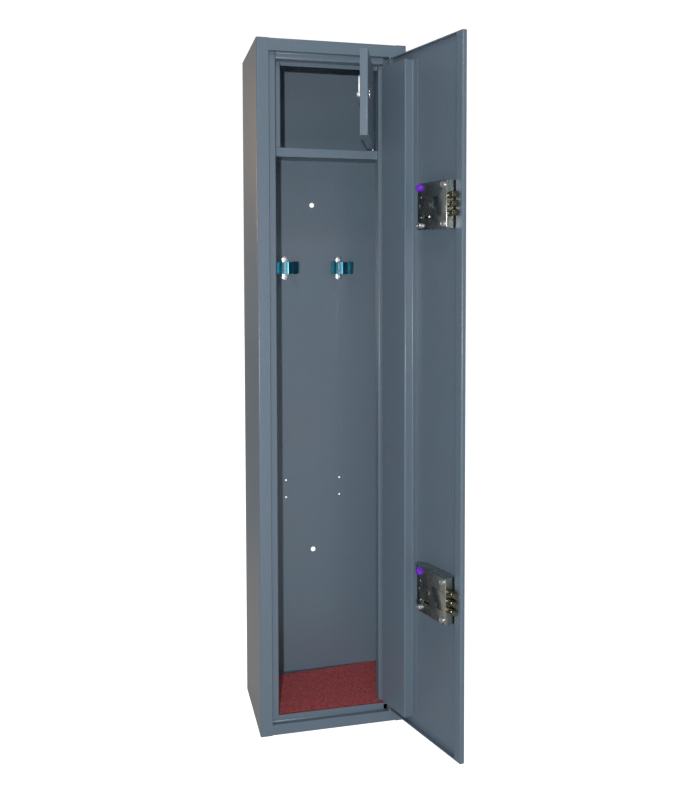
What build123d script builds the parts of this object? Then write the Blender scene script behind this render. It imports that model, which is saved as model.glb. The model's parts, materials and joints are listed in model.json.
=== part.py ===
from build123d import *
import os
from math import hypot

# A tall sheet-steel gun safe. One inset door turns on two pins and carries two key locks, each of which
# throws three round bolts. Above the long compartment is a small one with its own door and cam lock, and
# two spring clips on the back wall hold the long guns upright.
#
# Millimetres, +Z up. The origin is the middle of the base, +X is to the right of someone who faces the
# door, and +Y goes to the back. Every piece is built with both doors shut, and what rides on a door is
# then swung with it to the stored pose, in which both doors stand open.

# ---- driving dimensions: cabinet ----
cabinet_width = 300.0
cabinet_depth = 215.0
cabinet_height = 1370.0
body_sheet = 1.5
body_bend = 3.0
stile_width = 24.0
hinge_stile_width = 22.0
sill_height = 22.0
rebate_depth = 11.3
hinge_rebate_depth = 25.0
stop_reach = 15.0
hinge_stop_reach = 29.0
top_stop_reach = 13.0
stop_return = 20.0
strip_bend = 2.5
hinge_notch = 22.0

# ---- driving dimensions: floor, shelf and upper compartment ----
floor_rise = 9.0
carpet_gap = 0.4
carpet_margin = 3.0
carpet_skew = 22.0
shelf_drop = 203.5
shelf_lip = 18.0
treasury_height = 159.0
treasury_jamb = 13.0

# ---- driving dimensions: main door ----
door_sheet = 2.0
door_fold = 10.0
door_lip = 19.0
door_bend = 3.0
door_gap = 2.0
door_hinge_gap = 3.5
door_set_back = 0.5
door_opening = 106.3
pin_diameter = 6.0
pin_from_edge = 6.0
pin_engagement = 14.0
running_clearance = 0.05
washer_play = 0.2
channel_depth = 20.0
channel_width = 84.0
channel_foot = 14.5
lock_to_channel = 3.0
channel_end_gap = 18.0

# ---- driving dimensions: treasury door and its cam lock ----
treasury_sheet = 1.5
treasury_fold = 15.0
treasury_gap = 1.5
treasury_hinge_gap = 2.0
treasury_opening = 70.8
treasury_pin_diameter = 5.0
treasury_pin_set_back = 4.5
treasury_pin_from_edge = 6.0
cam_lock_from_edge = 25.0
cam_lock_diameter = 18.0
cam_bezel_diameter = 23.0
cam_bezel_thickness = 3.0
cam_bezel_bevel = 0.8
cam_tongue_length = 34.0
cam_tongue_width = 16.0
cam_tongue_thickness = 2.5
cam_clear_of_tray = 1.5
cam_plug_diameter = 10.8
cam_nut_across = 26.0
cam_nut_thickness = 5.0
cam_key_slot = (1.8, 7.0, 12.0)
cam_screw_across = 10.0
cam_screw_height = 3.5
treasury_pin_reach = 12.0
pin_bracket_height = 8.0

# ---- driving dimensions: door locks ----
lock_width = 90.0
lock_height = 86.0
lock_sheet = 1.5
lock_from_edge = 23.0
upper_lock_drop = 329.5
lower_lock_rise = 320.0
bolt_diameter = 12.0
bolt_pitch = 16.0
bolt_projection = 20.0
bolt_hold = 14.0
bolt_chamfer = 1.2
bolt_clearance = 0.7
bolt_hole_play = 0.4
bolt_window_play = 1.5
lock_screw_inset = 8.0
lock_screw_diameter = 4.0
lock_screw_reach = 3.0
screw_head_diameter = 10.0
screw_head_height = 5.0
screw_slot = (7.5, 1.4, 1.8)
seal_diameter = 16.0
seal_height = 7.5
seal_round = 2.4
key_from_side = 30.0
key_drop = 20.0
key_round = 7.0
key_slot_length = 17.0
key_slot_height = 3.4
lever_count = 4
lever_thickness = 1.6
lever_pitch = 2.2
lever_play = 0.5
lever_rim = 5.0
lever_post_diameter = 6.0
lever_post_inset = 11.0
lever_post_rise = 28.0
stump_diameter = 5.0
stump_rise = 3.0
stump_from_bar = 33.0
window_play = 1.7
bar_thickness = 3.0
tail_thickness = 2.0
tail_inset = 36.0
talon_depth = 9.0
escutcheon_thickness = 2.0
escutcheon_width = 26.0
escutcheon_height = 56.0
escutcheon_bevel = 0.8
hole_cover_sheet = 1.5
hole_cover_diameter = 21.0
hole_cover_top = 11.0
hole_cover_rise = 20.0
hole_rivet_diameter = 3.0
hole_rivet_head = (6.4, 1.2)

# ---- driving dimensions: spring clips and wall holes ----
clip_drop = 439.0
spare_clip_height = 443.0
clip_spacing = 121.0
clip_hole_spacing = 38.0
clip_hole = 4.0
clip_band = 27.0
clip_steel = 1.0
clip_plate_steel = 1.2
clip_ear_diameter = 13.0
clip_plate_width = 18.0
clip_bend = 2.5
jaw_root = 1.0
jaw_bulge = 21.0
jaw_throat = 13.5
jaw_lip = 24.0
jaw_reach_bulge = 14.0
jaw_reach_throat = 27.0
jaw_reach_lip = 37.0
rivet_head = (7.6, 1.2)
anchor_hole = 10.5
upper_anchor_drop = 301.0
lower_anchor_rise = 303.0

# ---- places worked out from them ----
left = -cabinet_width / 2
right = cabinet_width / 2
front = -cabinet_depth / 2
back = cabinet_depth / 2
top = cabinet_height
inside_left = left + body_sheet
inside_right = right - body_sheet
inside_back = back - body_sheet

opening_left = left + stile_width
opening_right = right - hinge_stile_width
opening_top = top - stile_width
opening_bottom = sill_height
stop_front = front + rebate_depth
stop_back = stop_front + body_sheet
hinge_stop_front = front + hinge_rebate_depth
stop_left = opening_left + stop_reach
stop_right = opening_right - hinge_stop_reach
stop_top = opening_top - top_stop_reach
sill_top = sill_height + top_stop_reach
notch_left = opening_right - hinge_notch

floor_top = sill_height + floor_rise
shelf_top = top - shelf_drop
shelf_front = stop_back + stop_return
treasury_top = shelf_top + treasury_height
treasury_left = stop_left + treasury_jamb
hinge_return_back = hinge_stop_front + body_sheet + stop_return

door_left = opening_left + door_gap
door_right = opening_right - door_hinge_gap
door_bottom = opening_bottom + door_gap
door_top = opening_top - door_gap
door_front = front + door_set_back
leaf_back = door_front + door_sheet
door_back = door_front + door_fold
pin_x = door_right - pin_from_edge
pin_y = (leaf_back + door_back) / 2
corner_swing = hypot(pin_from_edge, pin_y - door_front)
hinge_floor_front = pin_y + corner_swing + door_gap / 2
channel_bottom = door_bottom + channel_end_gap
channel_top = door_top - channel_end_gap

bolt_y = stop_back + bolt_clearance + bolt_diameter / 2
lock_left = door_left + lock_from_edge
lock_right = lock_left + lock_width
lock_back = bolt_y + bolt_diameter / 2 + 2 * lock_sheet
channel_left = max(door_right - channel_width, lock_right + lock_to_channel + channel_foot)
cover_front = lock_back - lock_sheet
key_x = lock_right - key_from_side
lock_heights = {"upper": top - upper_lock_drop, "lower": lower_lock_rise}
bolt_window = 2 * bolt_pitch + bolt_diameter + 2 * bolt_window_play
bolt_window_back = bolt_y + bolt_diameter / 2 + bolt_window_play

treasury_door_left = treasury_left + treasury_gap
treasury_door_right = stop_right - treasury_hinge_gap
treasury_door_bottom = shelf_top + treasury_gap
treasury_door_top = treasury_top - treasury_gap
treasury_leaf_back = shelf_front + treasury_sheet
treasury_back = shelf_front + treasury_fold
treasury_pin_x = treasury_door_right - treasury_pin_from_edge
treasury_pin_y = shelf_front + treasury_pin_set_back
cam_x = treasury_door_left + cam_lock_from_edge
cam_z = (treasury_door_bottom + treasury_door_top) / 2
cam_back = treasury_back + cam_clear_of_tray


def turned(x, y, angle):
    """The placement that turns a piece about an upright pin at x, y."""
    return Pos(x, y, 0) * Rot(0, 0, angle) * Pos(-x, -y, 0)


main_door_open = turned(pin_x, pin_y, door_opening)
treasury_door_open = turned(treasury_pin_x, treasury_pin_y, treasury_opening)
shut = Location()
upward = (Align.CENTER, Align.CENTER, Align.MIN)
downward = (Align.CENTER, Align.CENTER, Align.MAX)


def save(piece, name, placement=shut):
    """Name a finished piece, put it in its stored place and write its STEP file."""
    piece.part.label = name
    stored = piece.part.moved(placement)
    stored.label = name
    export_step(stored, f"parts/{name}.step")


def block(low, high, mode=Mode.ADD):
    """A plain block between its lowest and highest corners."""
    size = [b - a for a, b in zip(low, high)]
    with Locations(low):
        Box(*size, align=(Align.MIN, Align.MIN, Align.MIN), mode=mode)


def folded(plane, points, thickness, bend):
    """The section of a bent sheet: the points follow one face, and the steel lies on their left."""
    with BuildSketch(plane) as section:
        with BuildLine():
            FilletPolyline(*points, radius=bend)
            offset(amount=thickness, side=Side.LEFT)
        make_face()
    return section.sketch


def facing_front(x, y, z):
    """A sketch plane at a point that faces the front: its X runs to the right and its Y up."""
    return Plane(origin=(x, y, z), x_dir=(1, 0, 0), z_dir=(0, -1, 0))


def facing_back(x, y, z):
    """A sketch plane at a point that faces the back: its X runs to the right and its Y down."""
    return Plane(origin=(x, y, z), x_dir=(1, 0, 0), z_dir=(0, 1, 0))


os.makedirs("parts", exist_ok=True)

# ======================================================================================================
# Cabinet: two bent sides, a bent top, a bent base, a back, and the floor that is raised to the sill
# ======================================================================================================
with BuildPart() as side_panel_left:
    outline = [(left, back), (left, front), (opening_left, front)]
    extrude(folded(Plane.XY, outline, body_sheet, body_bend), amount=cabinet_height)
save(side_panel_left, "side_panel_left")

with BuildPart() as side_panel_right:
    outline = [(opening_right, front), (right, front), (right, back)]
    extrude(folded(Plane.XY, outline, body_sheet, body_bend), amount=cabinet_height)
save(side_panel_right, "side_panel_right")

inside_width = inside_right - inside_left
across = Plane.YZ.offset(inside_left)


def clear_of_stiles(low, high):
    """Cut the ends of a front rail back to the stiles and their inside bends, between two heights."""
    behind = front + body_sheet
    inside_bend = body_bend - body_sheet
    block((inside_left, front, low), (opening_left, behind, high), Mode.SUBTRACT)
    block((opening_right, front, low), (inside_right, behind, high), Mode.SUBTRACT)
    for x in (inside_left, inside_right - inside_bend):
        block((x, front, low), (x + inside_bend, behind + inside_bend, high), Mode.SUBTRACT)


with BuildPart() as top_panel:
    outline = [(inside_back, top), (front, top), (front, opening_top)]
    extrude(folded(across, outline, body_sheet, body_bend), amount=inside_width)
    clear_of_stiles(opening_top, top)
save(top_panel, "top_panel")

with BuildPart() as base_panel:
    outline = [(front, opening_bottom), (front, 0), (inside_back, 0)]
    extrude(folded(across, outline, body_sheet, body_bend), amount=inside_width)
    clear_of_stiles(0, opening_bottom)
save(base_panel, "base_panel")

clip_places = [-clip_spacing / 2, clip_spacing / 2]
clip_height = top - clip_drop

with BuildPart() as back_panel:
    block((inside_left, inside_back, 0), (inside_right, back, top))
    for height in (top - upper_anchor_drop, lower_anchor_rise):
        with Locations(facing_front(0, inside_back, height)):
            Hole(anchor_hole / 2)
    for height in (clip_height, spare_clip_height):
        with Locations(facing_front(0, inside_back, height)):
            with GridLocations(clip_spacing, clip_hole_spacing, 2, 2):
                Hole(clip_hole / 2)
save(back_panel, "back_panel")

with BuildPart() as floor_panel:
    block((inside_left, stop_back, floor_top - body_sheet), (inside_right, inside_back, floor_top))
    for x in (inside_left, inside_right - body_sheet):
        block((x, hinge_return_back, body_sheet), (x + body_sheet, inside_back, floor_top))
    block((notch_left, stop_back, body_sheet), (inside_right, hinge_floor_front, floor_top), Mode.SUBTRACT)
save(floor_panel, "floor_panel")

# ======================================================================================================
# Door stops: one bent strip on each side of the opening. The hinge side is set deeper, because the door
# is thicker there, and the top and the sill stop short of it to let the corners of the door turn.
# ======================================================================================================
behind_frame = front + body_sheet

with BuildPart() as stop_strip_left:
    outline = [
        (opening_left, behind_frame),
        (opening_left, stop_front),
        (stop_left, stop_front),
        (stop_left, stop_back + stop_return),
    ]
    section = folded(Plane.XY.offset(sill_top), outline, body_sheet, strip_bend)
    extrude(section, amount=opening_top - sill_top)
    block((opening_left - body_sheet, behind_frame, opening_bottom), (opening_left, stop_back, sill_top))
    for lock_z in lock_heights.values():
        low = (stop_left - strip_bend, stop_back, lock_z - bolt_window / 2)
        block(low, (stop_left, bolt_window_back, lock_z + bolt_window / 2), Mode.SUBTRACT)
save(stop_strip_left, "stop_strip_left")

with BuildPart() as stop_strip_right:
    outline = [
        (stop_right, hinge_return_back),
        (stop_right, hinge_stop_front),
        (opening_right, hinge_stop_front),
        (opening_right, behind_frame),
    ]
    section = folded(Plane.XY.offset(sill_top), outline, body_sheet, strip_bend)
    extrude(section, amount=opening_top - sill_top)
    block((opening_right, behind_frame, opening_bottom), (opening_right + body_sheet, stop_back, sill_top))
save(stop_strip_right, "stop_strip_right")

with BuildPart() as stop_strip_top:
    outline = [
        (behind_frame, opening_top),
        (stop_front, opening_top),
        (stop_front, stop_top),
        (stop_back + stop_return, stop_top),
    ]
    section = folded(Plane.YZ.offset(stop_left), outline, body_sheet, strip_bend)
    extrude(section, amount=notch_left - stop_left)
    plate_top = opening_top + body_sheet
    block((opening_left, behind_frame, opening_top), (stop_left, stop_back, plate_top))
    hinge_plate_back = hinge_stop_front + body_sheet
    block((notch_left, behind_frame, opening_top), (opening_right, hinge_plate_back, plate_top))
    low = (stop_right, hinge_stop_front, stop_top)
    block(low, (notch_left, hinge_return_back, opening_top), Mode.SUBTRACT)
    with Locations((pin_x, pin_y, opening_top)):
        Cylinder(pin_diameter / 2, 4 * body_sheet, mode=Mode.SUBTRACT)
save(stop_strip_top, "stop_strip_top")

with BuildPart() as sill_strip:
    outline = [
        (stop_front, sill_top),
        (stop_front, opening_bottom),
        (behind_frame, opening_bottom),
    ]
    section = folded(Plane.YZ.offset(opening_left), outline, body_sheet, strip_bend)
    extrude(section, amount=notch_left - opening_left)
    plate_bottom = opening_bottom - body_sheet
    block((notch_left, behind_frame, plate_bottom), (opening_right, stop_back, opening_bottom))
    with Locations((pin_x, pin_y, opening_bottom)):
        Cylinder(pin_diameter / 2, 4 * body_sheet, mode=Mode.SUBTRACT)
save(sill_strip, "sill_strip")

# ======================================================================================================
# Shelf and frame of the upper compartment, and the carpet on the floor
# ======================================================================================================
with BuildPart() as treasury_shelf:
    outline = [
        (inside_back, shelf_top),
        (shelf_front, shelf_top),
        (shelf_front, shelf_top - shelf_lip),
    ]
    extrude(folded(across, outline, body_sheet, strip_bend), amount=inside_width)
    lip_bottom = shelf_top - shelf_lip
    lip_back = shelf_front + 2 * body_sheet
    below_sheet = shelf_top - body_sheet
    block((inside_left, shelf_front, lip_bottom), (stop_left, lip_back, below_sheet), Mode.SUBTRACT)
    low = (stop_right, shelf_front, lip_bottom)
    block(low, (inside_right, hinge_return_back, shelf_top), Mode.SUBTRACT)
    with Locations((treasury_pin_x, treasury_pin_y, shelf_top)):
        Cylinder(treasury_pin_diameter / 2, 4 * body_sheet, mode=Mode.SUBTRACT)
save(treasury_shelf, "treasury_shelf")

with BuildPart() as treasury_jamb_left:
    outline = [
        (inside_left, shelf_front),
        (treasury_left, shelf_front),
        (treasury_left, treasury_back),
    ]
    section = folded(Plane.XY.offset(shelf_top), outline, body_sheet, strip_bend)
    extrude(section, amount=top - body_sheet - shelf_top)
save(treasury_jamb_left, "treasury_jamb_left")

jamb_back = shelf_front + body_sheet

with BuildPart() as treasury_jamb_top:
    block((treasury_left, shelf_front, treasury_top), (stop_right, jamb_back, top - body_sheet))
save(treasury_jamb_top, "treasury_jamb_top")

with BuildPart() as treasury_hinge_bracket:
    bracket_reach = treasury_pin_from_edge
    bracket_top = treasury_top + pin_bracket_height
    low = (treasury_pin_x - bracket_reach, jamb_back, treasury_top)
    block(low, (treasury_pin_x + bracket_reach, jamb_back + 2 * bracket_reach, bracket_top))
    with Locations((treasury_pin_x, treasury_pin_y, treasury_top)):
        Cylinder(treasury_pin_diameter / 2, 4 * pin_bracket_height, mode=Mode.SUBTRACT)
save(treasury_hinge_bracket, "treasury_hinge_bracket")

with BuildPart() as carpet_mat:
    carpet_front = stop_back + carpet_gap
    carpet_back = inside_back - carpet_gap
    carpet_left = inside_left + carpet_margin
    carpet_right = inside_right - carpet_margin
    with BuildSketch(Plane.XY.offset(floor_top)):
        with BuildLine():
            Polyline(
                (carpet_left, carpet_front),
                (notch_left, carpet_front),
                (notch_left, hinge_floor_front + carpet_gap),
                (opening_right - carpet_margin, hinge_floor_front + carpet_gap),
                (opening_right - carpet_margin, hinge_return_back),
                (carpet_right, hinge_return_back),
                (carpet_right, carpet_back),
                (carpet_left, carpet_back - carpet_skew),
                close=True,
            )
        make_face()
    extrude(amount=sill_top - carpet_gap - floor_top)
save(carpet_mat, "carpet_mat")

# ======================================================================================================
# Main door: a leaf folded into a shallow tray, a deep channel down its hinge side, and a bush at each end
# ======================================================================================================


def key_hole(y, z, depth):
    """Cut a keyhole, a round for the stem and a level slot for the bits, through depth of steel."""
    with BuildSketch(facing_front(key_x, y, z - key_drop)) as outline:
        Circle(key_round / 2)
        Rectangle(key_slot_length, key_slot_height)
    extrude(outline.sketch, amount=-depth, mode=Mode.SUBTRACT)


with BuildPart() as door_leaf:
    outline = [
        (door_left + door_lip, door_back),
        (door_left, door_back),
        (door_left, door_front),
        (door_right, door_front),
    ]
    section = folded(Plane.XY.offset(door_bottom), outline, door_sheet, door_bend)
    extrude(section, amount=door_top - door_bottom)
    flange_left = door_left + door_sheet
    for low_z in (door_bottom, door_top - door_sheet):
        block((flange_left, door_front + door_sheet, low_z), (door_right, door_back, low_z + door_sheet))
    for flange_z in (door_bottom, door_top):
        with Locations((pin_x, pin_y, flange_z)):
            Cylinder(pin_diameter / 2 + running_clearance, 4 * door_sheet, mode=Mode.SUBTRACT)
    for lock_z in lock_heights.values():
        key_hole(door_front, lock_z, door_sheet)
save(door_leaf, "door_leaf", main_door_open)

with BuildPart() as hinge_channel:
    outline = [
        (door_right, leaf_back),
        (door_right, leaf_back + channel_depth),
        (channel_left, leaf_back + channel_depth),
        (channel_left, leaf_back + body_sheet),
        (channel_left - channel_foot, leaf_back + body_sheet),
    ]
    section = folded(Plane.XY.offset(channel_bottom), outline, body_sheet, strip_bend)
    extrude(section, amount=channel_top - channel_bottom)
save(hinge_channel, "hinge_channel", main_door_open)


def door_bush(low_z, high_z):
    """The block inside a corner of the door that turns on a hinge pin."""
    with BuildPart() as bush:
        block((pin_x - pin_diameter, leaf_back, low_z), (door_right, door_back, high_z))
        with Locations((pin_x, pin_y, (low_z + high_z) / 2)):
            Cylinder(pin_diameter / 2 + running_clearance, high_z - low_z, mode=Mode.SUBTRACT)
    return bush


bush_length = channel_end_gap - door_sheet
bush_low = door_bottom + door_sheet
bush_high = door_top - door_sheet
save(door_bush(bush_low, bush_low + bush_length), "door_bush_lower", main_door_open)
save(door_bush(bush_high - bush_length, bush_high), "door_bush_upper", main_door_open)

with BuildPart() as hinge_pin_lower:
    with Locations((pin_x, pin_y, opening_bottom - sill_height / 2)):
        Cylinder(pin_diameter / 2, sill_height / 2 + door_gap + pin_engagement, align=upward)
save(hinge_pin_lower, "hinge_pin_lower")

with BuildPart() as hinge_washer:
    with Locations((pin_x, pin_y, opening_bottom)):
        Cylinder(pin_diameter * 0.9, door_gap - washer_play, align=upward)
        Cylinder(pin_diameter / 2, 2 * door_gap, mode=Mode.SUBTRACT)
save(hinge_washer, "hinge_washer")

with BuildPart() as hinge_pin_upper:
    with Locations((pin_x, pin_y, opening_top - door_gap - pin_engagement)):
        Cylinder(pin_diameter / 2, stile_width / 2 + door_gap + pin_engagement, align=upward)
save(hinge_pin_upper, "hinge_pin_upper")

# ======================================================================================================
# Door locks: case, cover, screws, bolts on their bar, levers on their post, and the outside key plate
# ======================================================================================================
case_wall_left = lock_left + lock_sheet
bolt_tip = lock_left - bolt_projection
bar_left = lock_left + bolt_hold
bar_right = bar_left + bar_thickness
tail_y = bolt_y - bolt_diameter / 2 - tail_thickness
tail_right = lock_right - tail_inset
stump_x = bar_right + stump_from_bar
levers_front = tail_y + tail_thickness + lever_pitch / 2
levers_back = levers_front + (lever_count - 1) * lever_pitch + lever_thickness
screw_reach = min(lock_screw_reach, cover_front - levers_back - lever_play)
post_x = lock_right - lever_post_inset
screw_places = (lock_width - 2 * lock_screw_inset, lock_height - 2 * lock_screw_inset)
lock_middle = (lock_left + lock_right) / 2


def lock_case(z):
    """An open box that the bolts pass through on the free side."""
    with BuildPart() as case:
        low_z, high_z = z - lock_height / 2, z + lock_height / 2
        block((lock_left, leaf_back, low_z), (lock_right, cover_front, high_z))
        inner_low = (case_wall_left, leaf_back + lock_sheet, low_z + lock_sheet)
        block(inner_low, (lock_right - lock_sheet, cover_front, high_z - lock_sheet), Mode.SUBTRACT)
        with BuildSketch(Plane(origin=(lock_left, bolt_y, z), x_dir=(0, 1, 0), z_dir=(1, 0, 0))):
            with GridLocations(0, bolt_pitch, 1, 3):
                Circle(bolt_diameter / 2 + bolt_hole_play / 2)
        extrude(amount=lock_sheet, mode=Mode.SUBTRACT)
        key_hole(leaf_back, z, lock_sheet)
    return case


def lock_cover(z):
    """The flat plate that closes the case, with a screw at each corner and a slot for the key's end."""
    with BuildPart() as cover:
        low_z, high_z = z - lock_height / 2, z + lock_height / 2
        block((lock_left, cover_front, low_z), (lock_right, lock_back, high_z))
        with Locations(facing_front(lock_middle, cover_front, z)):
            with GridLocations(*screw_places, 2, 2):
                Hole(lock_screw_diameter / 2)
        key_hole(cover_front, z, lock_sheet)
    return cover


def lock_screws(z):
    """Four slotted screws, from the head on the cover to the shank's end inside the case."""
    with BuildPart() as screws:
        with Locations(facing_back(lock_middle, lock_back, z)):
            with GridLocations(*screw_places, 2, 2):
                Cylinder(screw_head_diameter / 2, screw_head_height, align=upward)
                Cylinder(lock_screw_diameter / 2, lock_sheet + screw_reach, align=downward)
                with Locations((0, 0, screw_head_height)):
                    Box(*screw_slot, mode=Mode.SUBTRACT)
    return screws


def lock_seal(z):
    """A blob of sealing lacquer over the upper screw on the hinge side."""
    with BuildPart() as seal:
        seal_x = lock_right - lock_screw_inset
        seal_z = z + lock_height / 2 - lock_screw_inset
        with Locations(facing_back(seal_x, lock_back, seal_z)):
            Cylinder(seal_diameter / 2, seal_height, align=upward)
        fillet(seal.edges().filter_by(GeomType.CIRCLE).sort_by(Axis.Y)[-1], seal_round)
        with Locations(facing_back(seal_x, lock_back, seal_z)):
            Cylinder(screw_head_diameter / 2, screw_head_height, align=upward, mode=Mode.SUBTRACT)
    return seal


def lock_bolts(z):
    """Three round bolts with chamfered ends."""
    with BuildPart() as bolts:
        with Locations(Plane(origin=(bolt_tip, bolt_y, z), x_dir=(0, 1, 0), z_dir=(1, 0, 0))):
            with GridLocations(0, bolt_pitch, 1, 3):
                Cylinder(bolt_diameter / 2, bolt_projection + bolt_hold, align=upward)
        chamfer(bolts.edges().filter_by(GeomType.CIRCLE).group_by(Axis.X)[0], bolt_chamfer)
    return bolts


def bolt_bar(z):
    """The bar that joins the bolts, the tail plate that the key drives, and the stump for the levers."""
    with BuildPart() as bar:
        half = bolt_pitch + bolt_diameter / 2
        block((bar_left, tail_y, z - half), (bar_right, bolt_y + bolt_diameter / 2, z + half))
        key_z = z - key_drop
        with BuildSketch(facing_front(0, tail_y, 0)):
            with BuildLine():
                Polyline(
                    (bar_right, z - half),
                    (tail_right - talon_depth, z - half),
                    (tail_right - talon_depth, key_z + talon_depth / 2),
                    (tail_right, key_z + talon_depth),
                    (tail_right, z + talon_depth),
                    (bar_right, z + half),
                    close=True,
                )
            make_face()
        extrude(amount=-tail_thickness)
        with Locations(facing_back(stump_x, tail_y + tail_thickness, z + stump_rise)):
            Cylinder(stump_diameter / 2, (lever_count + 0.5) * lever_pitch, align=upward)
    return bar


def lock_levers(z):
    """A pack of levers that turn on the post; the stump runs along the window in each."""
    window_x = stump_x + bolt_projection / 2
    window_z = z + stump_rise
    window_long = bolt_projection + stump_diameter + 2.4 * window_play
    window_high = stump_diameter + 2 * window_play
    lever_left = window_x - window_long / 2 - lever_rim
    lever_right = post_x + lever_rim + 2.0
    lever_low = window_z - window_high / 2 - lever_rim
    lever_high = z + lever_post_rise + lever_rim + 3.0
    lever_waist = window_z + window_high / 2 + 2 * lever_rim
    with BuildPart() as levers:
        for count in range(lever_count):
            belly = lever_low - 0.6 * (count % 3)
            with BuildSketch(facing_front(0, levers_front + count * lever_pitch, 0)) as outline:
                with BuildLine():
                    Polyline(
                        (lever_left, lever_low),
                        (key_x - lever_rim, belly),
                        (key_x + lever_rim, belly),
                        (lever_right, lever_low + lever_rim),
                        (lever_right, lever_high),
                        (post_x - lever_rim, lever_high),
                        (lever_left, lever_waist),
                        close=True,
                    )
                make_face()
                with Locations((post_x, z + lever_post_rise)):
                    Circle(lever_post_diameter / 2 + running_clearance, mode=Mode.SUBTRACT)
                with Locations((window_x, window_z)):
                    Rectangle(window_long, window_high, mode=Mode.SUBTRACT)
            extrude(outline.sketch, amount=-lever_thickness)
    return levers


def lever_post(z):
    """The post that the levers turn on, from the case to the cover."""
    with BuildPart() as post:
        with Locations(facing_back(post_x, leaf_back + lock_sheet, z + lever_post_rise)):
            length = cover_front - leaf_back - lock_sheet
            Cylinder(lever_post_diameter / 2, length, align=upward)
    return post


plate_face = door_front - escutcheon_thickness


def escutcheon(z):
    """The plate round the keyhole on the outside of the door."""
    with BuildPart() as plate:
        with BuildSketch(facing_front(key_x, door_front, z - key_drop)):
            SlotOverall(escutcheon_height, escutcheon_width, rotation=90)
        extrude(amount=escutcheon_thickness)
        chamfer(plate.faces().sort_by(Axis.Y)[0].edges(), escutcheon_bevel)
        key_hole(plate_face, z, escutcheon_thickness)
        with Locations(facing_front(key_x, plate_face, z - key_drop + hole_cover_rise)):
            Hole(hole_rivet_diameter / 2 + running_clearance, escutcheon_thickness)
    return plate


def keyhole_cover(z):
    """The drop-shaped cover that hangs over the keyhole and swings aside on its rivet."""
    pivot_z = z - key_drop + hole_cover_rise
    head_diameter, head_height = hole_rivet_head
    with BuildPart() as cover:
        with BuildSketch(facing_front(key_x, plate_face, 0)):
            with Locations((0, z - key_drop)):
                Circle(hole_cover_diameter / 2)
            with Locations((0, pivot_z)):
                Circle(hole_cover_top / 2)
            make_hull()
        extrude(amount=hole_cover_sheet)
        with Locations(facing_front(key_x, plate_face - hole_cover_sheet, pivot_z)):
            Cylinder(head_diameter / 2, head_height, align=upward)
        with Locations(facing_back(key_x, plate_face, pivot_z)):
            Cylinder(hole_rivet_diameter / 2, escutcheon_thickness, align=upward)
    return cover


lock_parts = {
    "lock_case": lock_case,
    "lock_cover": lock_cover,
    "lock_screws": lock_screws,
    "lock_seal": lock_seal,
    "lock_bolts": lock_bolts,
    "bolt_bar": bolt_bar,
    "lock_levers": lock_levers,
    "lever_post": lever_post,
    "escutcheon": escutcheon,
    "keyhole_cover": keyhole_cover,
}
for place, lock_z in lock_heights.items():
    for part_name, make_part in lock_parts.items():
        save(make_part(lock_z), f"{part_name}_{place}", main_door_open)

# ======================================================================================================
# Treasury door: a small tray on two pins, with a cam lock near its free edge
# ======================================================================================================
with BuildPart() as treasury_door:
    door_low = (treasury_door_left, shelf_front, treasury_door_bottom)
    door_high = (treasury_door_right, treasury_back, treasury_door_top)
    block(door_low, door_high)
    fillet(treasury_door.faces().sort_by(Axis.Y)[0].edges(), strip_bend)
    hollow_low = tuple(low + treasury_sheet for low in door_low)
    hollow_high = (door_high[0] - treasury_sheet, treasury_back, door_high[2] - treasury_sheet)
    block(hollow_low, hollow_high, Mode.SUBTRACT)
    with Locations((treasury_pin_x, treasury_pin_y, cam_z)):
        Cylinder(treasury_pin_diameter / 2 + running_clearance, treasury_height, mode=Mode.SUBTRACT)
    with Locations(facing_front(cam_x, shelf_front, cam_z)):
        Cylinder(cam_lock_diameter / 2, 4 * treasury_sheet, mode=Mode.SUBTRACT)
save(treasury_door, "treasury_door", treasury_door_open)

with BuildPart() as treasury_pin_lower:
    length = shelf_lip / 2 + treasury_gap + treasury_pin_reach
    with Locations((treasury_pin_x, treasury_pin_y, shelf_top - shelf_lip / 2)):
        Cylinder(treasury_pin_diameter / 2, length, align=upward)
save(treasury_pin_lower, "treasury_pin_lower")

with BuildPart() as treasury_pin_upper:
    length = pin_bracket_height + treasury_gap + treasury_pin_reach
    with Locations((treasury_pin_x, treasury_pin_y, treasury_top + pin_bracket_height)):
        Cylinder(treasury_pin_diameter / 2, length, align=downward)
save(treasury_pin_upper, "treasury_pin_upper")

cam_axis_back = facing_back(cam_x, shelf_front, cam_z)
cam_length = cam_back - shelf_front

with BuildPart() as cam_lock_barrel:
    with Locations(cam_axis_back):
        Cylinder(cam_lock_diameter / 2, cam_length, align=upward)
        Cylinder(cam_bezel_diameter / 2, cam_bezel_thickness, align=downward)
    chamfer(cam_lock_barrel.edges().filter_by(GeomType.CIRCLE).sort_by(Axis.Y)[0], cam_bezel_bevel)
    with Locations(cam_axis_back):
        Cylinder(cam_plug_diameter / 2 + running_clearance, 4 * cam_length, mode=Mode.SUBTRACT)
save(cam_lock_barrel, "cam_lock_barrel", treasury_door_open)

with BuildPart() as cam_lock_nut:
    with BuildSketch(facing_back(cam_x, treasury_leaf_back, cam_z)):
        RegularPolygon(cam_nut_across / 2, 6)
        Circle(cam_lock_diameter / 2, mode=Mode.SUBTRACT)
    extrude(amount=cam_nut_thickness)
save(cam_lock_nut, "cam_lock_nut", treasury_door_open)

with BuildPart() as cam_lock_plug:
    with Locations(facing_back(cam_x, shelf_front - cam_bezel_thickness, cam_z)):
        Cylinder(cam_plug_diameter / 2, cam_length + cam_bezel_thickness, align=upward)
        Box(*cam_key_slot, mode=Mode.SUBTRACT)
save(cam_lock_plug, "cam_lock_plug", treasury_door_open)

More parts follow.
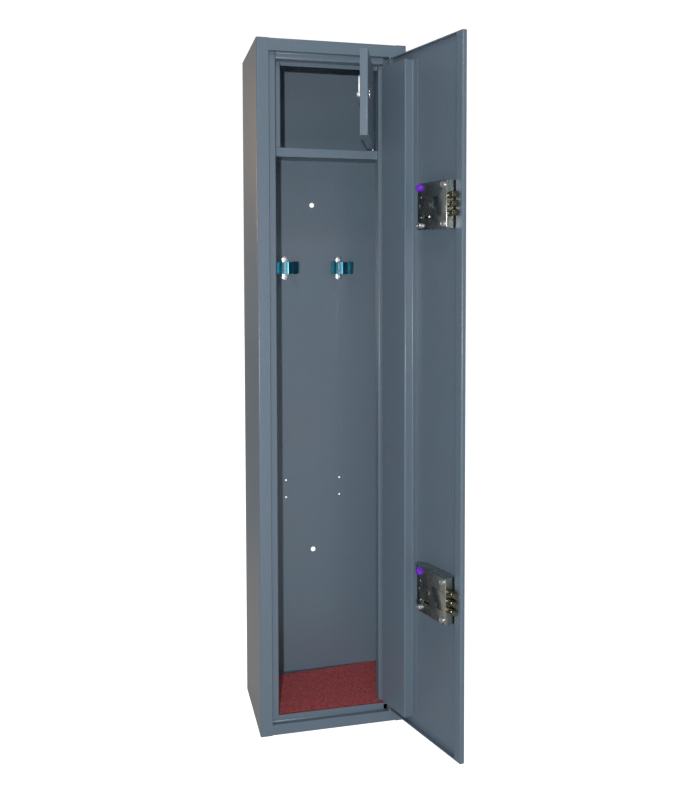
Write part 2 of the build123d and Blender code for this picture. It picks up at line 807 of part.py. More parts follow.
with BuildPart() as cam_tongue:
    tongue_half = cam_tongue_width / 2
    with BuildSketch(Plane(origin=(cam_x, cam_back, cam_z), x_dir=(-1, 0, 0), z_dir=(0, 1, 0))):
        Circle(tongue_half)
        with Locations((0, cam_tongue_length / 2)):
            Rectangle(cam_tongue_width, cam_tongue_length)
    extrude(amount=cam_tongue_thickness)
    tip = cam_tongue.edges().filter_by(Axis.Y).group_by(Axis.Z)[-1]
    fillet(tip, tongue_half / 2)
save(cam_tongue, "cam_tongue", treasury_door_open)

with BuildPart() as cam_screw:
    with BuildSketch(facing_back(cam_x, cam_back + cam_tongue_thickness, cam_z)):
        RegularPolygon(cam_screw_across / 2, 6)
    extrude(amount=cam_screw_height)
save(cam_screw, "cam_screw", treasury_door_open)

# ======================================================================================================
# Spring clips: a plate with two riveted ears, and two jaws bent from spring steel
# ======================================================================================================
plate_front = inside_back - clip_plate_steel


def clip_plate(x):
    """The base of a clip: an ear above and below a plain middle as wide as the band's root."""
    with BuildPart() as plate:
        with BuildSketch(facing_front(x, inside_back, clip_height)):
            Rectangle(clip_plate_width, clip_band)
            with GridLocations(0, clip_hole_spacing, 1, 2):
                Circle(clip_ear_diameter / 2)
            Rectangle(clip_ear_diameter * 0.7, clip_hole_spacing)
            with GridLocations(0, clip_hole_spacing, 1, 2):
                Circle(clip_hole / 2, mode=Mode.SUBTRACT)
        extrude(amount=clip_plate_steel)
    return plate


def clip_jaw(x, side):
    """One arm of the clip, on the right (side 1) or the left (side -1): out, in at the throat, out."""
    with BuildPart() as jaw:
        outline = [
            (x + jaw_lip, plate_front - jaw_reach_lip),
            (x + jaw_throat, plate_front - jaw_reach_throat),
            (x + jaw_bulge, plate_front - jaw_reach_bulge),
            (x + clip_plate_width / 2, plate_front),
            (x + jaw_root, plate_front),
        ]
        section = folded(Plane.XY.offset(clip_height - clip_band / 2), outline, clip_steel, clip_bend)
        extrude(section, amount=clip_band)
    if side < 0:
        with BuildPart() as mirrored:
            mirror(jaw.part, Plane.YZ.offset(x))
        return mirrored
    return jaw


with BuildPart() as clip_rivets:
    with Locations(facing_front(0, plate_front, clip_height)):
        with GridLocations(clip_spacing, clip_hole_spacing, 2, 2):
            Cylinder(rivet_head[0] / 2, rivet_head[1], align=upward)
            Cylinder(clip_hole / 2, clip_plate_steel + body_sheet, align=downward)
save(clip_rivets, "clip_rivets")

for clip_name, clip_x in zip(("left", "right"), clip_places):
    save(clip_plate(clip_x), f"clip_plate_{clip_name}")
    save(clip_jaw(clip_x, -1), f"clip_{clip_name}_jaw_left")
    save(clip_jaw(clip_x, 1), f"clip_{clip_name}_jaw_right")
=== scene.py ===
import json
import math

import bmesh
import bpy
from mathutils import Matrix, Vector, noise


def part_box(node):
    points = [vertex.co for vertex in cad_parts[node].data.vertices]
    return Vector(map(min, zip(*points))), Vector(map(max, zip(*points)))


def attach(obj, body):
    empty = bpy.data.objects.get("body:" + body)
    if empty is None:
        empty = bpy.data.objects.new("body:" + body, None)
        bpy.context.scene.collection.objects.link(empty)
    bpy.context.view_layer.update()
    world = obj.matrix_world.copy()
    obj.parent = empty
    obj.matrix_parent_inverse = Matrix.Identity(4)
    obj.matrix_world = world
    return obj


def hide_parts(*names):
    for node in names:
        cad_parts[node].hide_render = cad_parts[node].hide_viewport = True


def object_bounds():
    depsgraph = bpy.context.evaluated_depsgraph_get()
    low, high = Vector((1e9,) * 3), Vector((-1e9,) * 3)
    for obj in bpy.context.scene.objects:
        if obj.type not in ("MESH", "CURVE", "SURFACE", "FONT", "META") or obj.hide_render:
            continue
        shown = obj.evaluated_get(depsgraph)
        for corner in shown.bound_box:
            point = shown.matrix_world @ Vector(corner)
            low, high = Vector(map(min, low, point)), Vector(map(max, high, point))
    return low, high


# A tall sheet-steel gun safe. The steelwork, the doors and their locks keep the shapes that the frame
# gives them, with eased edges and a sprayed finish. The carpet, the lock covers, the bolts, the sealing
# lacquer and the barrel clips are made here, and so are the weld marks on the door's hinge channel.
# Everything is in metres, +Z up. What rides on a door is made where it is when the door is shut, and is
# then swung open with it.

# The noise starts from the same place on every run.
noise.seed_set(1)

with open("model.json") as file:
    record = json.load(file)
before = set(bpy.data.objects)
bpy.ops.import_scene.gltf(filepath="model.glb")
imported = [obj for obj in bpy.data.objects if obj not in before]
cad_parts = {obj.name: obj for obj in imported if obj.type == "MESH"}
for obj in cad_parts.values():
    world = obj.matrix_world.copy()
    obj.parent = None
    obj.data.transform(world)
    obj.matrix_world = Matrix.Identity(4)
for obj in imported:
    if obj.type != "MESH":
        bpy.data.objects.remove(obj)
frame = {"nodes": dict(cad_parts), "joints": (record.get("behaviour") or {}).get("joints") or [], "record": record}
cad_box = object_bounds()
nodes = frame["nodes"]
mm = 0.001
# Points of a mesh that lie nearer than this are one point.
same_point = 0.005 * mm
# A gap too small to see, which keeps two points or faces apart.
hair = 0.01 * mm


# ---- places ----
def joint(name):
    """A joint of the frame by its name."""
    return next(j for j in frame["joints"] if j["name"] == name)


def swing_open(name):
    """The turn that carries a door from shut to where it stands open."""
    hinge = joint(name)
    pin = Matrix.Translation(Vector(hinge["pos_m"]))
    angle = math.radians(-hinge["range_deg"][0])
    return pin @ Matrix.Rotation(angle, 4, "Z") @ pin.inverted()


def shut_box(node, swing=Matrix()):
    """Lowest and highest corner of a node, seen where its door is shut."""
    shut = swing.inverted()
    points = [shut @ vertex.co for vertex in nodes[node].data.vertices]
    low = Vector([min(point[axis] for point in points) for axis in range(3)])
    high = Vector([max(point[axis] for point in points) for axis in range(3)])
    return low, high


main_door_open = swing_open("main_door_hinge")
treasury_door_open = swing_open("treasury_door_hinge")


def facing_back(x, y, z):
    """A frame at a point, with its Z to the back and its X to the right."""
    return Matrix.Translation((x, y, z)) @ Matrix.Rotation(-math.pi / 2, 4, "X")


def facing_front(x, y, z):
    """A frame at a point, with its Z to the front, its X to the right and its Y up."""
    return Matrix.Translation((x, y, z)) @ Matrix.Rotation(math.pi / 2, 4, "X")


def facing_left(x, y, z):
    """A frame at a point, with its Z to the left."""
    return Matrix.Translation((x, y, z)) @ Matrix.Rotation(-math.pi / 2, 4, "Y")


# ---- materials ----
def linear(code):
    """An sRGB hex colour as the linear RGBA that a shader takes."""
    channels = [int(code[start:start + 2], 16) / 255 for start in (1, 3, 5)]
    return (*[c / 12.92 if c <= 0.04045 else ((c + 0.055) / 1.055) ** 2.4 for c in channels], 1.0)


def add(tree, kind, inputs=None, **settings):
    """Add a node with its settings, and give its inputs a value each or a link from another node."""
    node = tree.nodes.new(kind)
    for name, value in settings.items():
        setattr(node, name, value)
    for name, value in (inputs or {}).items():
        if isinstance(value, bpy.types.NodeSocket):
            tree.links.new(value, node.inputs[name])
        else:
            node.inputs[name].default_value = value
    return node


def new_material(name, **shader):
    """A material whose shader's own sockets are set by name; returns it, its tree, shader and position."""
    material = bpy.data.materials.new(name)
    material.use_nodes = True
    tree = material.node_tree
    principled = tree.nodes["Principled BSDF"]
    for socket, value in shader.items():
        principled.inputs[socket.replace("_", " ")].default_value = value
    position = add(tree, "ShaderNodeTexCoord").outputs["Object"]
    return material, tree, principled, position


def per_metre(millimetres):
    """The scale of a pattern whose features are this many millimetres apart."""
    return 1000.0 / millimetres


def blended(tree, factor, first, second):
    """The colour between two hex colours."""
    inputs = {0: factor, 6: linear(first), 7: linear(second)}
    return add(tree, "ShaderNodeMix", inputs, data_type="RGBA").outputs[2]


def spread(tree, factor, low, high, start=0.3, end=0.7):
    """A pattern's middle part, stretched to run from low to high."""
    inputs = {0: factor, 1: start, 2: end, 3: low, 4: high}
    return add(tree, "ShaderNodeMapRange", inputs).outputs[0]


def powder_coat():
    """Polyester powder coat, sprayed and baked on steel: satin blue-grey, with a faint orange peel, a few
    grains of dust under it, and slow drifts in its tone where the spray was thicker."""
    material, tree, shader, position = new_material("sprayed_powder_coat", IOR=1.5, Roughness=0.28)
    drift = add(tree, "ShaderNodeTexNoise", {"Vector": position, "Scale": per_metre(170), "Detail": 2.0})
    tone = spread(tree, drift.outputs[0], 0.0, 1.0, 0.1, 0.9)
    colour = blended(tree, tone, coat_cool, coat_grey)
    tree.links.new(colour, shader.inputs["Base Color"])
    # The real orange peel is about 2 mm across; it is drawn at 4 mm, which is the finest that shows.
    peel = add(tree, "ShaderNodeTexNoise", {"Vector": position, "Scale": per_metre(4), "Detail": 1.0})
    grains = add(tree, "ShaderNodeTexVoronoi", {"Vector": position, "Scale": per_metre(9)})
    grain = spread(tree, grains.outputs["Distance"], 1.0, 0.0, 0.04, 0.12)
    height = add(tree, "ShaderNodeMath", {0: peel.outputs[0], 1: grain}, operation="ADD")
    bump = add(tree, "ShaderNodeBump", {"Strength": 0.8, "Distance": 0.35 * mm, "Height": height.outputs[0]})
    tree.links.new(bump.outputs[0], shader.inputs["Normal"])
    return material


def needled_carpet():
    """Needle-punched polypropylene carpet: matt burgundy fibres with paler and darker flecks."""
    material, tree, shader, position = new_material("needled_carpet", IOR=1.45, Roughness=0.95)
    shader.inputs["Sheen Weight"].default_value = 0.1
    shader.inputs["Sheen Roughness"].default_value = 0.6
    # The fibres are 0.1 mm thick; their tufts are drawn at 4 mm, which is the finest that shows.
    tufts = add(tree, "ShaderNodeTexNoise", {"Vector": position, "Scale": per_metre(4), "Detail": 2.0})
    patches = add(tree, "ShaderNodeTexNoise", {"Vector": position, "Scale": per_metre(28), "Detail": 2.0})
    fleck = blended(tree, spread(tree, tufts.outputs[0], 0.0, 1.0, 0.3, 0.7), carpet_dark, carpet_light)
    worn = {0: spread(tree, patches.outputs[0], 0.0, 0.45), 6: fleck, 7: linear(carpet_worn)}
    colour = add(tree, "ShaderNodeMix", worn, data_type="RGBA").outputs[2]
    tree.links.new(colour, shader.inputs["Base Color"])
    bump = add(tree, "ShaderNodeBump", {"Strength": 0.8, "Distance": 0.8 * mm, "Height": tufts.outputs[0]})
    tree.links.new(bump.outputs[0], shader.inputs["Normal"])
    return material


def metal(name, first, second, patch, roughness, streak=(1.0, 1.0, 1.0), dent=0.0):
    """A bare or plated metal: two tones in patches of a size, roughness from low to high, and a grain that
    is stretched along the axes where streak is small."""
    material, tree, shader, position = new_material(name, Metallic=1.0)
    stretched = add(tree, "ShaderNodeMapping", {"Vector": position, "Scale": streak}).outputs[0]
    patches = add(tree, "ShaderNodeTexNoise", {"Vector": stretched, "Scale": per_metre(patch), "Detail": 3.0})
    tree.links.new(blended(tree, spread(tree, patches.outputs[0], 0.0, 1.0), first, second),
                   shader.inputs["Base Color"])
    tree.links.new(spread(tree, patches.outputs[0], *roughness), shader.inputs["Roughness"])
    if dent:
        waves = add(tree, "ShaderNodeTexNoise", {"Vector": stretched, "Scale": per_metre(2 * patch)})
        bump = add(tree, "ShaderNodeBump", {"Strength": 0.5, "Distance": dent, "Height": waves.outputs[0]})
        tree.links.new(bump.outputs[0], shader.inputs["Normal"])
    return material


def sealing_lacquer():
    """Inspector's lacquer, dabbed on a screw and left to dry: glossy, in swirls of deeper and paler violet."""
    material, tree, shader, position = new_material("dabbed_sealing_lacquer", IOR=1.5, Roughness=0.12)
    swirl = add(tree, "ShaderNodeTexNoise", {"Vector": position, "Scale": per_metre(6), "Detail": 2.0})
    colour = blended(tree, spread(tree, swirl.outputs[0], 0.0, 1.0), lacquer_thick, lacquer_thin)
    tree.links.new(colour, shader.inputs["Base Color"])
    return material


coat_cool = "#6a7f8c"
coat_grey = "#6f7a89"
carpet_dark = "#a8262b"
carpet_light = "#e2676a"
carpet_worn = "#cf474b"
lacquer_thick = "#5a12b4"
lacquer_thin = "#8a3de0"

# Blue-grey paint with a satin shine, here and there a little greyer or bluer.
coat = powder_coat()
# Dull red fibres, flecked lighter and darker.
carpet = needled_carpet()
# Zinc plate with a yellowish passivation, on pressed sheet: satin, with long soft ripples from the press.
zinc = metal("passivated_zinc_plate", "#c8cac3", "#a5a9a0", 14, (0.2, 0.34), (1.0, 1.0, 0.35), 0.25 * mm)
# Nickel plate on turned bar: warm, bright, with faint turning marks.
nickel = metal("nickel_on_turned_bar", "#878069", "#676152", 2, (0.2, 0.32))
# Bright steel, cut and plated, its colour pushed to nearly white: a painted highlight that stands in for the glare
# where the light hits it.
bright = metal("bright_turned_steel", "#f1f2f3", "#dfe1e3", 3, (0.34, 0.46))
# Chrome on a zinc casting: mirror bright, with hardly any tone of its own.
chrome = metal("chrome_on_zinc_casting", "#d4d8dc", "#c4c9cf", 8, (0.06, 0.12))
# Spring steel with a blue-green passivation: a clear film that shifts between teal and blue.
blued = metal("blue_passivated_spring_steel", "#5ba3a6", "#5798bb", 10, (0.3, 0.42), (1.0, 1.0, 0.3))
# The same steel, bare and nearly white: partly pale metal, partly a painted highlight along the edges and folds
# that catch the light.
pale_steel_painted_highlight = metal("spring_steel_painted_edge_highlight", "#e9f0f4", "#cfdbe2", 4, (0.25, 0.35))
# Violet drops, glossy, in swirls of deeper and paler colour.
lacquer = sealing_lacquer()


# ---- ways of making ----
def placed(name, data):
    """A new object in the scene."""
    made = bpy.data.objects.new(name, data)
    bpy.context.scene.collection.objects.link(made)
    return made


def verts_of(geometry):
    """The vertices among what a mesh operator gives back."""
    return [v for v in geometry if isinstance(v, bmesh.types.BMVert)]


def finished(name, bm, body, materials, place=Matrix(), stands_for=(), crease=32):
    """Close up a mesh, put it in its place and make it a piece that rides on a body."""
    bmesh.ops.remove_doubles(bm, verts=bm.verts[:], dist=same_point)
    bmesh.ops.recalc_face_normals(bm, faces=bm.faces[:])
    bmesh.ops.transform(bm, matrix=place, verts=bm.verts[:])
    mesh = bpy.data.meshes.new(name)
    bm.to_mesh(mesh)
    bm.free()
    for material in materials:
        mesh.materials.append(material)
    mesh.shade_smooth()
    mesh.set_sharp_from_angle(angle=math.radians(crease))
    piece = placed(name, mesh)
    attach(piece, body)
    if stands_for:
        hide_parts(*stands_for)
    return piece


def round_off(bm, geometry, width, segments, affect="EDGES"):
    """Round off some edges or corners, with the new faces in the materials of their neighbours."""
    bmesh.ops.bevel(bm, geom=geometry, offset=width, segments=segments, profile=0.5, affect=affect,
                    material=-1)


def ease(bm, width, angle=35, segments=2):
    """Round every edge that is sharper than an angle."""
    sharp = [e for e in bm.edges if e.is_manifold and e.calc_face_angle() > math.radians(angle)]
    round_off(bm, sharp, width, segments)


def outline(bm, place, width, height, radius, steps=24):
    """A closed loop of edges: a circle, pulled out at its quarters to a slot or a rounded rectangle."""
    half_step = Matrix.Rotation(math.pi / steps, 4, "Z")
    ring = bmesh.ops.create_circle(bm, segments=steps, radius=radius, matrix=half_step)["verts"]
    for side_x in (-1, 1):
        for side_y in (-1, 1):
            quarter = [v for v in ring if v.co.x * side_x > 0 and v.co.y * side_y > 0]
            pull = (side_x * (width / 2 - radius), side_y * (height / 2 - radius), 0.0)
            bmesh.ops.translate(bm, verts=quarter, vec=pull)
    bmesh.ops.transform(bm, matrix=place, verts=ring)
    return list({e for v in ring for e in v.link_edges})


def slot_outline(bm, place, width, height):
    """The outline of a slot with round ends."""
    return outline(bm, place, width, height, height / 2 - hair)


def sheet_between(bm, loops, thickness):
    """Fill between an outline and the holes in it, and give the sheet its thickness."""
    filled = bmesh.ops.triangle_fill(bm, use_beauty=True, edges=loops)["geom"]
    faces = [f for f in filled if isinstance(f, bmesh.types.BMFace)]
    raised = bmesh.ops.extrude_face_region(bm, geom=faces)["geom"]
    bmesh.ops.translate(bm, verts=verts_of(raised), vec=thickness)


def turned(bm, profile, place, steps=32):
    """Spin a profile of (radius, height) in millimetres round the Z of a frame."""
    ring = [bm.verts.new(place @ Vector((radius * mm, 0.0, height * mm))) for radius, height in profile]
    edges = [bm.edges.new(pair) for pair in zip(ring, ring[1:])]
    axis = place.to_3x3() @ Vector((0, 0, 1))
    bmesh.ops.spin(bm, geom=ring + edges, cent=place.translation, axis=axis, angle=2 * math.pi,
                   steps=steps, use_merge=True, use_duplicate=False)


def raised_panel(bm, corners, place, height):
    """A flat panel of a few corners, raised from the sheet that it is pressed in."""
    base = bm.faces.new([bm.verts.new(place @ Vector((x * mm, y * mm, 0.0))) for x, y in corners])
    raised = bmesh.ops.extrude_face_region(bm, geom=[base])["geom"]
    bmesh.ops.translate(bm, verts=verts_of(raised), vec=place.to_3x3() @ Vector((0, 0, height)))


# ---- the steelwork from the frame ----
def finish_node(name, material, width):
    """Give a node of the frame its finish, with its edges eased as a press and a spray gun leave them."""
    node = nodes[name]
    node.data.materials.clear()
    node.data.materials.append(material)
    weld = node.modifiers.new("weld", "WELD")
    weld.merge_threshold = same_point
    round_edges = node.modifiers.new("round_edges", "BEVEL")
    round_edges.width = width
    round_edges.segments = 2
    round_edges.limit_method = "ANGLE"
    round_edges.angle_limit = math.radians(40)
    round_edges.harden_normals = True


slot_finish = {
    "blue_grey_powder_coat": coat,
    "burgundy_carpet": carpet,
    "zinc_plated_steel": zinc,
    "nickel_plated_bolt": nickel,
    "bright_turned_steel": bright,
    "chromed_zinc_casting": chrome,
    "blue_spring_steel": blued,
    "sealing_lacquer": lacquer,
}
bright_nodes = ("cam_tongue", "cam_screw")
rounder_nodes = ("lock_screws_upper", "lock_screws_lower", "lock_case_upper", "lock_case_lower")
edge_radius = 0.3 * mm
rounder_radius = 0.6 * mm
for part in frame["record"]["subparts"]:
    name = part["node"]
    finish = bright if name in bright_nodes else slot_finish[part["material_slot"]]
    finish_node(name, finish, rounder_radius if name in rounder_nodes else edge_radius)


# ---- carpet ----
carpet_grid = 5 * mm
# How far the face lies under the top of the space it fills, and its edge under the face.
carpet_face_drop = 0.9 * mm
carpet_edge_drop = 0.5 * mm


def carpet_piece():
    """The carpet, cut a little crooked and laid on the floor: a closed sheet with a soft uneven face."""
    bm = bmesh.new()
    bm.from_mesh(nodes["carpet_mat"].data)
    bmesh.ops.remove_doubles(bm, verts=bm.verts[:], dist=same_point)
    low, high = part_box("carpet_mat")
    not_top = [f for f in bm.faces if f.normal.z < 0.5]
    bmesh.ops.delete(bm, geom=not_top, context="FACES")
    for axis, normal in ((0, (1, 0, 0)), (1, (0, 1, 0))):
        for step in range(1, int((high[axis] - low[axis]) / carpet_grid)):
            at = low.copy()
            at[axis] += step * carpet_grid
            everything = bm.verts[:] + bm.edges[:] + bm.faces[:]
            bmesh.ops.bisect_plane(bm, geom=everything, plane_co=at, plane_no=normal, dist=hair)
    edge = {v for e in bm.edges if e.is_boundary for v in e.verts}
    for v in bm.verts:
        # Waves about 30 mm long, and shorter ones of about 7 mm.
        v.co.z += noise.noise(v.co * 35) * 0.5 * mm + noise.noise(v.co * 140) * 0.35 * mm - carpet_face_drop
        if v in edge:
            v.co += noise.noise_vector(v.co * 90) * 0.25 * mm
            v.co.z -= carpet_edge_drop
    lowered = bmesh.ops.extrude_face_region(bm, geom=bm.faces[:])["geom"]
    for v in verts_of(lowered):
        v.co.z = low.z + 0.05 * mm
    piece = finished("carpet", bm, "cabinet", [carpet],
                     stands_for=["carpet_mat"], crease=60)


# ---- locks ----
# What is pressed in a lock cover: insets run from the side next to the door's hinge, and rises and drops
# from the middle of its height.
key_inset = 30 * mm
key_drop = 20 * mm
key_slot = (20 * mm, 3.6 * mm)
rib_inset = 23 * mm
rib_rise = 1 * mm
rib_outside = (36 * mm, 10 * mm)
rib_inside = (31 * mm, 5 * mm)
rib_height = 0.9 * mm
# The raised panel's corners in millimetres: across from the hinge side, up from the middle.
panel_corners = [(-47, -17), (-87, -17), (-87, 19), (-62, 19), (-62, 13), (-47, 4)]
panel_height = 0.7 * mm
rivet_inset = 10.5 * mm
rivet_rises = (17 * mm, -20 * mm)
# Profiles to be turned are lists of (radius, height) in millimetres.
rivet_dome = [(0, 1.1), (1.2, 0.95), (2.0, 0.5), (2.3, 0.0), (0, 0.0)]


def lock_cover_piece(place):
    """The pressed cover of a lock: key slot, an oblong rib, two rivets and a raised panel at the bolts."""
    low, high = shut_box(f"lock_cover_{place}", main_door_open)
    middle = (low + high) / 2
    face = facing_back(middle.x, low.y, middle.z)
    thick = high.y - low.y
    bm = bmesh.new()
    slot_place = facing_back(high.x - key_inset, low.y, middle.z - key_drop)
    loops = outline(bm, face, high.x - low.x, high.z - low.z, 3 * mm)
    loops += slot_outline(bm, slot_place, *key_slot)
    sheet_between(bm, loops, (0, thick, 0))
    ease(bm, 0.65 * thick, 60, 4)
    rib_place = facing_back(high.x - rib_inset, high.y, middle.z + rib_rise)
    loops = slot_outline(bm, rib_place, *rib_outside)
    loops += slot_outline(bm, rib_place, *rib_inside)
    sheet_between(bm, loops, (0, rib_height, 0))
    raised_panel(bm, panel_corners, facing_back(high.x, high.y, middle.z), panel_height)
    ease(bm, 0.4 * mm)
    for rise in rivet_rises:
        turned(bm, rivet_dome, facing_back(high.x - rivet_inset, high.y, middle.z + rise), 20)
    finished(f"pressed_lock_cover_{place}", bm, "main_door", [zinc],
             main_door_open, [f"lock_cover_{place}"])


def bolts_piece(place):
    """Three turned bolts, each with a groove near its end, a rounded rim and a shallow centre hole."""
    low, high = shut_box(f"lock_bolts_{place}", main_door_open)
    radius = (high.y - low.y) / 2 / mm
    length = (high.x - low.x) / mm
    middle = (low + high) / 2
    pitch = (high.z - low.z) / 2 - radius * mm
    profile = [
        (0.0, 0.0), (radius, 0.0), (radius, length - 7.0), (radius - 0.6, length - 6.5),
        (radius - 0.6, length - 5.0), (radius, length - 4.5), (radius, length - 1.6),
        (radius - 0.5, length - 0.6), (radius - 1.5, length), (1.6, length), (1.1, length - 0.6),
        (0.0, length - 0.6),
    ]
    bm = bmesh.new()
    for step in (-1, 0, 1):
        turned(bm, profile, facing_left(high.x, middle.y, middle.z + step * pitch), 40)
    finished(f"turned_bolts_{place}", bm, f"{place}_bolts", [nickel],
             main_door_open, [f"lock_bolts_{place}"])


lacquer_ripple = 1.1 * mm


def lacquer_piece(place):
    """The dab of lacquer over a screw: a low uneven blob that has run a little."""
    low, high = shut_box(f"lock_seal_{place}", main_door_open)
    middle = (low + high) / 2
    size = high - low
    bm = bmesh.new()
    squash = Matrix.Diagonal((size.x * 0.54, size.y * 0.98, size.z * 0.48, 1.0))
    at = Matrix.Translation((middle.x, low.y, middle.z))
    bmesh.ops.create_icosphere(bm, subdivisions=4, radius=1.0, matrix=at @ squash)
    for v in bm.verts:
        v.co += noise.noise_vector(v.co * 260) * lacquer_ripple
        v.co.y = max(v.co.y, low.y + 0.05 * mm)
    finished(f"lacquer_dab_{place}", bm, "main_door", [lacquer],
             main_door_open, [f"lock_seal_{place}"], crease=70)


# ---- barrel clips ----
plate_sheet = 1.5 * mm
jaw_sheet = 0.9 * mm
# A clip's ears are round, of this radius; its shoulders lie this far above and below the middle, in mm.
ear = 6.5
shoulder_rise = 10.5
# A jaw's bends in millimetres, out from the middle and back from the plate: root, heel, belly, throat.
jaw_root = 1.0
jaw_bends = [(jaw_root, 0.0), (9.0, 0.0), (20.4, -14.0), (13.2, -27.0)]
jaw_bend_radius = 2.2 * mm
lip_corner_radius = 4 * mm
rivet_head_radius = 3.8 * mm
rolled_ring = [(1.5, -1.0), (1.5, 0.6), (1.9, 1.15), (2.7, 1.3), (3.5, 1.0), (3.9, 0.2), (3.9, 0.0),
               (1.9, -1.0), (1.5, -1.0)]


def clip_plate_piece(side):
    """The base of a clip, with an ear above and below and a shoulder between each ear and the middle. One
    quarter of its outline is drawn, and mirrored twice."""
    low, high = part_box(f"clip_plate_{side}")
    middle = (low + high) / 2
    half = (high.x - low.x) / 2 / mm
    rise = (high.z - low.z) / 2 / mm - ear
    bm = bmesh.new()
    at = facing_front(middle.x, high.y, middle.z)
    corner = bm.verts.new(Vector((ear * 0.86, rise - ear * 0.5, 0)) * mm)
    arc = bmesh.ops.spin(bm, geom=[corner], cent=(0, rise * mm, 0), axis=(0, 0, 1),
                         angle=math.radians(120), steps=8)["geom_last"]
    top = verts_of(arc)[0]
    top.co.x = 0.0
    shoulder = bm.verts.new(Vector((half, shoulder_rise, 0)) * mm)
    waist = bm.verts.new(Vector((half, 0, 0)) * mm)
    bm.edges.new((corner, shoulder))
    bm.edges.new((shoulder, waist))
    for axis in ("X", "Y"):
        quarter = bm.verts[:] + bm.edges[:]
        bmesh.ops.mirror(bm, geom=quarter, matrix=Matrix(), merge_dist=hair, axis=axis)
    bmesh.ops.remove_doubles(bm, verts=bm.verts[:], dist=hair)
    sheet_between(bm, bm.edges[:], (0, 0, plate_sheet))
    ease(bm, 0.35 * mm, 50)
    # The base is all in the nearly white steel: pale metal, with a painted highlight where its edge catches the
    # light.
    finished(f"clip_base_{side}", bm, "cabinet", [pale_steel_painted_highlight], at,
             [f"clip_plate_{side}"])


def clip_jaw_piece(clip, side):
    """One jaw of a clip: a strip bent out, in at the throat and out again, with rounded lip corners. It is
    made as a right jaw, and mirrored for a left one."""
    low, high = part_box(f"clip_{clip}_jaw_{side}")
    plate_low, plate_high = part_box(f"clip_plate_{clip}")
    centre = (plate_low.x + plate_high.x) / 2
    way = 1 if side == "right" else -1
    size = high - low
    lip = (jaw_root * mm + size.x, -size.y)
    bm = bmesh.new()
    strip = [bm.verts.new((x * mm, y * mm, low.z)) for x, y in jaw_bends]
    strip.append(bm.verts.new((*lip, low.z)))
    edges = [bm.edges.new(pair) for pair in zip(strip, strip[1:])]
    walls = bmesh.ops.extrude_edge_only(bm, edges=edges)["geom"]
    bmesh.ops.translate(bm, verts=verts_of(walls), vec=(0, 0, size.z))
    folds = [e for e in bm.edges if len(e.link_faces) == 2]
    round_off(bm, folds, jaw_bend_radius, 5)
    tip = min(v.co.y for v in bm.verts)
    corners = [v for v in bm.verts if v.co.y < tip + hair]
    round_off(bm, corners, lip_corner_radius, 5, "VERTICES")
    bmesh.ops.recalc_face_normals(bm, faces=bm.faces[:])
    # The strip gets its thickness on the side that its faces look away from, which has to be the front.
    root_face = max(bm.faces, key=lambda f: f.calc_center_median().y)
    if root_face.normal.y < 0:
        bmesh.ops.reverse_faces(bm, faces=bm.faces[:])
    bmesh.ops.solidify(bm, geom=bm.faces[:], thickness=jaw_sheet)
    ease(bm, 0.25 * mm, 60, 1)
    # The strip's cut ends take the nearly white steel: a painted highlight on the edges that catch the light.
    for f in bm.faces:
        if abs(f.normal.z) > 0.6:
            f.material_index = 1
    at = Matrix.Translation((centre, high.y, 0)) @ Matrix.Diagonal((way, 1, 1, 1))
    finished(f"clip_jaw_{clip}_{side}", bm, f"{clip}_clip_{side}_jaw",
             [blued, pale_steel_painted_highlight], at, [f"clip_{clip}_jaw_{side}"])


def eyelets_piece():
    """The tubular rivets that hold the clips: a rolled ring with an open middle."""
    low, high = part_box("clip_rivets")
    plate_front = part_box("clip_plate_left")[0].y
    bm = bmesh.new()
    across = (high.x - low.x) / 2 - rivet_head_radius
    for x in (-across, across):
        for z in (low.z + rivet_head_radius, high.z - rivet_head_radius):
            turned(bm, rolled_ring, facing_front(x, plate_front, z), 28)
    finished("clip_eyelets", bm, "cabinet", [bright], stands_for=["clip_rivets"])


# ---- weld marks ----
weld_dome = [(0.0, 0.55), (1.4, 0.5), (2.4, 0.3), (3.0, 0.0), (0.0, 0.0)]
weld_count = 17
# How far the welds lie from the foot's free edge, and how thick the foot is.
weld_inset = 5 * mm
foot_sheet = 1.5 * mm


def channel_welds():
    """Low painted domes along the foot of the door's hinge channel, where it is spot welded to the door."""
    low, high = shut_box("hinge_channel", main_door_open)
    bm = bmesh.new()
    for step in range(weld_count):
        z = low.z + (high.z - low.z) * (step + 0.5) / weld_count
        turned(bm, weld_dome, facing_back(low.x + weld_inset, low.y + foot_sheet, z), 14)
    finished("channel_weld_marks", bm, "main_door", [coat],
             main_door_open, crease=70)


# ---- floor, light and camera ----
def pale_floor():
    """A plain pale floor that runs far out on every side, and is as white as the backdrop to the eye."""
    bm = bmesh.new()
    bmesh.ops.create_grid(bm, x_segments=1, y_segments=1, size=12.0)
    bmesh.ops.translate(bm, verts=bm.verts[:], vec=(0, 0, cad_box[0].z - 0.2 * mm))
    mesh = bpy.data.meshes.new("pale_floor")
    bm.to_mesh(mesh)
    bm.free()
    floor = placed("pale_floor", mesh)
    material, tree, shader, _ = new_material("pale_floor_paint", Roughness=0.9)
    shader.inputs["Base Color"].default_value = linear("#e9e9e9")
    shader.inputs["Emission Color"].default_value = linear("#ffffff")
    ray = add(tree, "ShaderNodeLightPath").outputs["Is Camera Ray"]
    tree.links.new(ray, shader.inputs["Emission Strength"])
    mesh.materials.append(material)


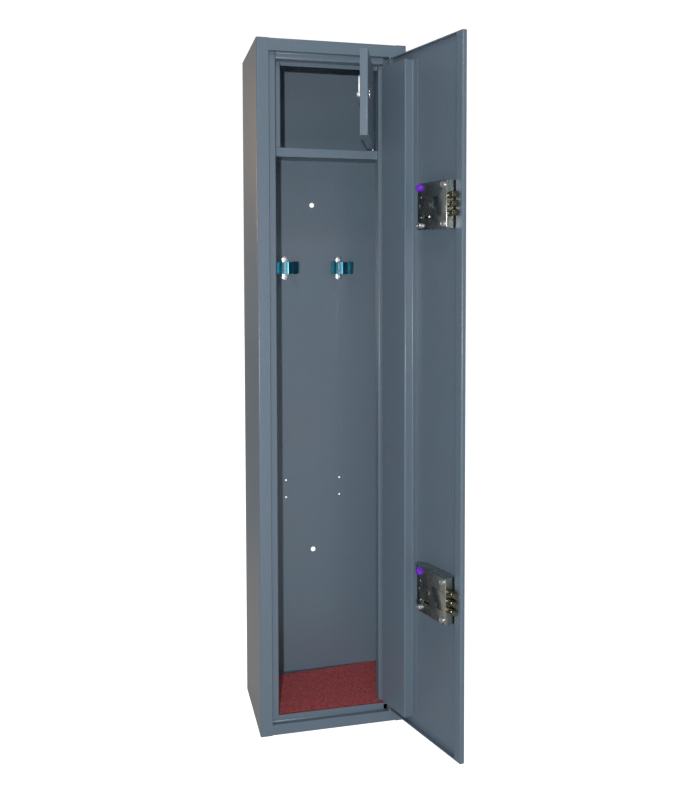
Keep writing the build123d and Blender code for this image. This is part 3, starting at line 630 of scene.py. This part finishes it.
def area_light(name, at, towards, size, power, colour="#ffffff"):
    """A square lamp that faces a point."""
    data = bpy.data.lights.new(name, "AREA")
    data.size = size
    data.energy = power
    data.color = linear(colour)[:3]
    lamp = placed(name, data)
    lamp.location = at
    lamp.rotation_mode = "QUATERNION"
    lamp.rotation_quaternion = (Vector(towards) - Vector(at)).to_track_quat("-Z", "Y")


def white_surround():
    """A white backdrop for the eye and an even, weaker light for everything else."""
    world = bpy.data.worlds.new("white_surround")
    world.use_nodes = True
    tree = world.node_tree
    tree.nodes.clear()
    ray = add(tree, "ShaderNodeLightPath").outputs["Is Camera Ray"]
    ambient = add(tree, "ShaderNodeBackground", {"Color": linear("#e4eaf0"), "Strength": 0.32}).outputs[0]
    backdrop = add(tree, "ShaderNodeBackground", {"Color": linear("#ffffff"), "Strength": 1.05}).outputs[0]
    mixed = add(tree, "ShaderNodeMixShader", {0: ray, 1: ambient, 2: backdrop}).outputs[0]
    add(tree, "ShaderNodeOutputWorld", {"Surface": mixed})
    bpy.context.scene.world = world


def camera():
    """A camera at a standing adult's chest, a little to the left of the safe."""
    data = bpy.data.cameras.new("camera")
    data.lens = 39.72
    data.shift_y = -0.1
    data.clip_end = 60.0
    eye = placed("camera", data)
    yaw, pitch, roll = (math.radians(angle) for angle in (13.8, -2.68, -0.12))
    aim = Matrix.Rotation(-yaw, 4, "Z") @ Matrix.Rotation(math.pi / 2 + pitch, 4, "X")
    eye.matrix_world = Matrix.Translation((-0.3841, -1.8084, 0.9076)) @ aim @ Matrix.Rotation(roll, 4, "Z")
    bpy.context.scene.camera = eye


carpet_piece()
for place in ("upper", "lower"):
    lock_cover_piece(place)
    bolts_piece(place)
    lacquer_piece(place)
for clip in ("left", "right"):
    clip_plate_piece(clip)
    for side in ("left", "right"):
        clip_jaw_piece(clip, side)
eyelets_piece()
channel_welds()

pale_floor()
white_surround()
area_light("flash", at=(-0.785, -3.2, 0.8), towards=(0.0, 0.0, 0.66), size=0.045, power=48.0)
area_light("soft_top", at=(-0.3, -1.6, 2.4), towards=(0.0, 0.0, 0.1), size=0.3, power=5.0)
area_light("warm_lamp", at=(-1.0, 0.95, 1.35), towards=(-0.15, 0.0, 1.25), size=0.4, power=7.0,
           colour="#ffc98a")
camera()
bpy.context.scene.view_settings.view_transform = "Standard"
